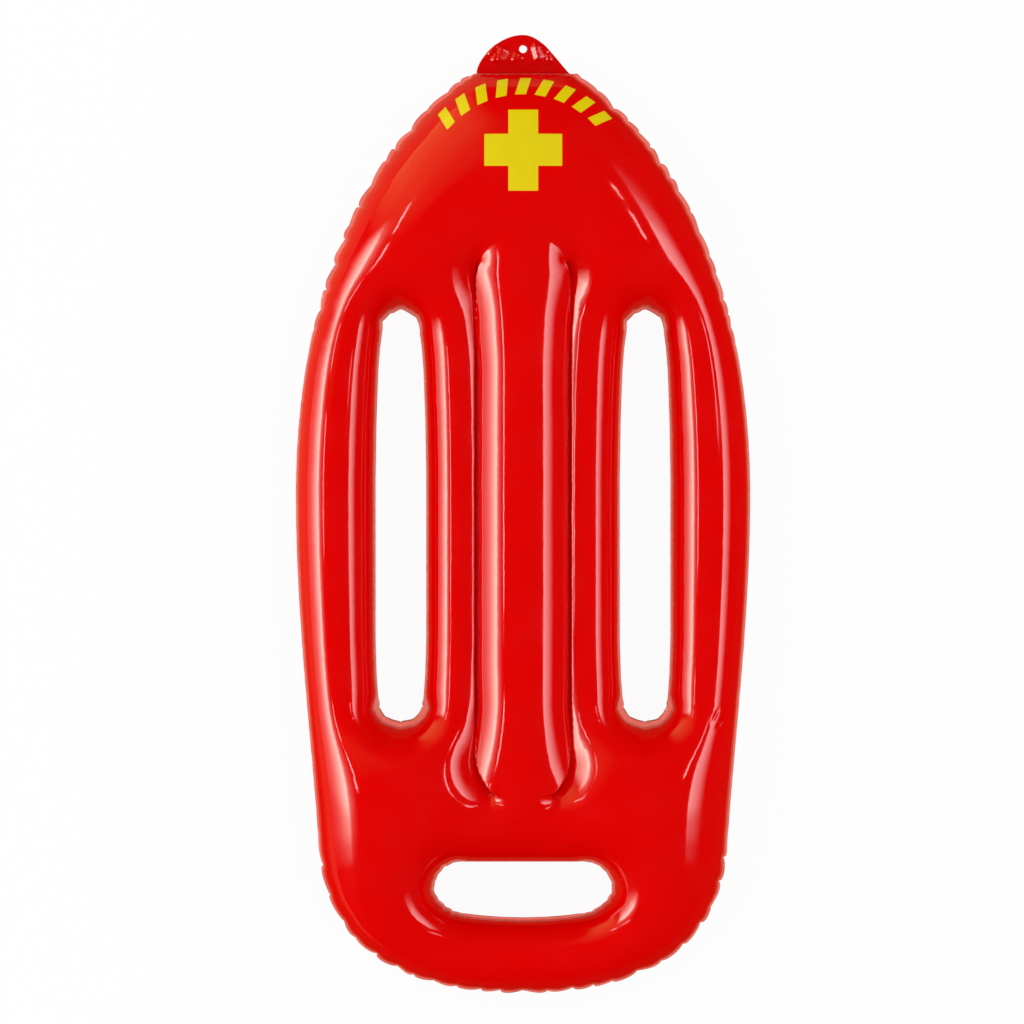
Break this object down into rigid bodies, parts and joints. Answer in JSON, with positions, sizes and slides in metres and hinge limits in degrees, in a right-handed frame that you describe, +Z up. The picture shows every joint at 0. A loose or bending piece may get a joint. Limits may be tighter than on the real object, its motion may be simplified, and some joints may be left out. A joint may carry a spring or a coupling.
{
  "type": "inflatable bodyboard",
  "caption": "Inflatable float board of welded film with side slots, a handle slot, a raised middle column, a hang tab and a push-in air valve in the back.",
  "frame": {"origin": "middle of the box round the board, on the surface that it lies on", "axes": "+Z up, out of the front; +Y along the board towards the hang tab; +X across it, to the right seen from the front"},
  "size_m": [0.351, 0.74, 0.0826],
  "materials": {
    "film": "glossy red PVC film",
    "weld": "welded red PVC film, slightly clear",
    "valve": "clear soft PVC moulding"
  },
  "bodies": {
    "envelope": {"front_film": "film", "back_film": "film", "outer_seam": "weld", "left_slot_seam": "weld", "right_slot_seam": "weld", "handle_seam": "weld", "left_rib_weld": "film", "right_rib_weld": "film", "hang_tab": "weld", "valve_flange": "valve", "valve_well": "valve"},
    "stem": {"valve_stem": "valve", "plug_strap": "valve"},
    "flap": {"check_flap": "valve"},
    "plug": {"valve_plug": "valve"}
  },
  "joints": [
    {"name": "stem_pop_out", "type": "slide", "parent": "envelope", "child": "stem", "axis": [0, 0, -1], "range_m": [0, 0.015], "deforming": ["valve_well"]},
    {"name": "plug_pull", "type": "slide", "parent": "stem", "child": "plug", "axis": [0, 0, -1], "range_m": [0, 0.012], "deforming": ["plug_strap"]},
    {"name": "flap_open", "type": "hinge", "parent": "stem", "child": "flap", "pos_m": [0, 0.2741, 0.0206], "axis": [-1, 0, 0], "range_deg": [0, 60]}
  ]
}
